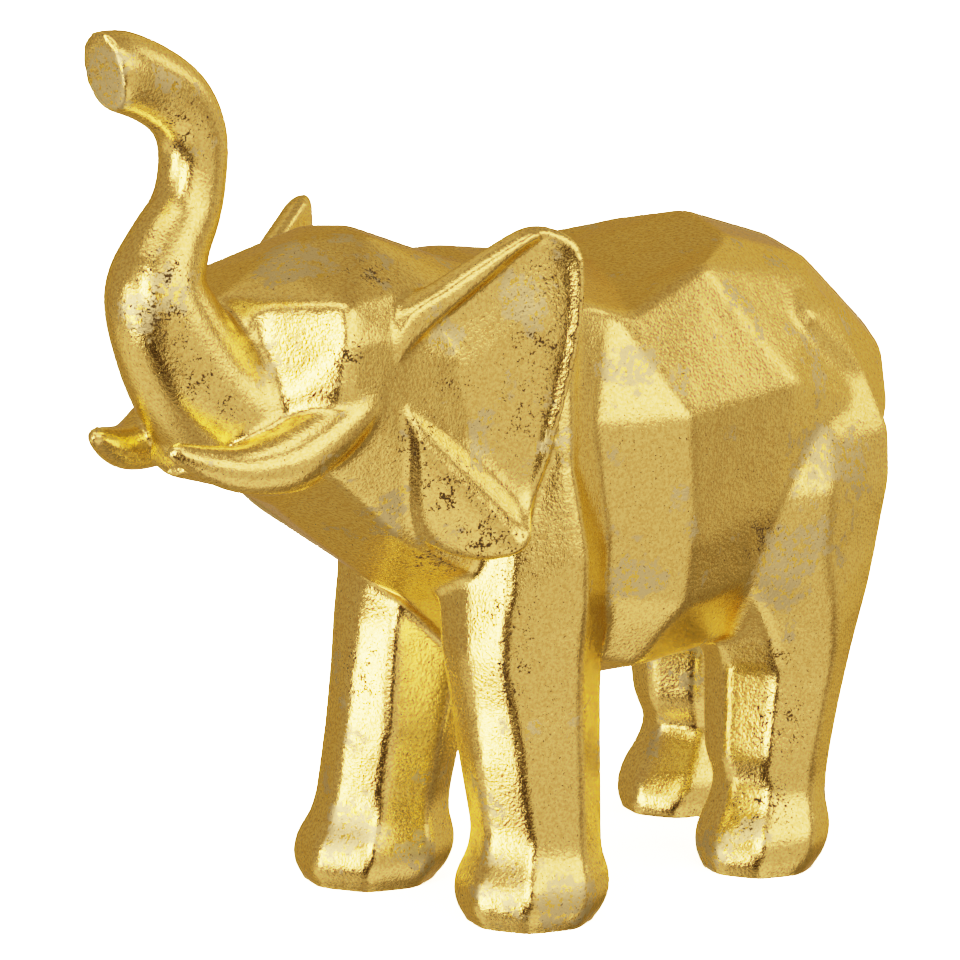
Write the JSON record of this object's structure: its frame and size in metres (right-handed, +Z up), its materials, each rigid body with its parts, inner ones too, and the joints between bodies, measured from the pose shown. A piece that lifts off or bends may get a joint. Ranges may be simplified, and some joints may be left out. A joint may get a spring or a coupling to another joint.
{
  "type": "elephant figurine",
  "caption": "Standing elephant figurine with a raised trunk and short tusks, cast in one faceted piece with a gold leaf finish.",
  "frame": {"origin": "centre of the bounding box on the plane of the soles", "axes": "+Z up, +Y from the head towards the tail, +X towards the elephant's left side"},
  "size_m": [0.1064, 0.2756, 0.2405],
  "materials": {
    "gold_leaf": "imitation gold leaf over cast resin, satin and a little wrinkled, with dark specks"
  },
  "bodies": {
    "root": {"elephant": "gold_leaf"}
  },
  "joints": []
}
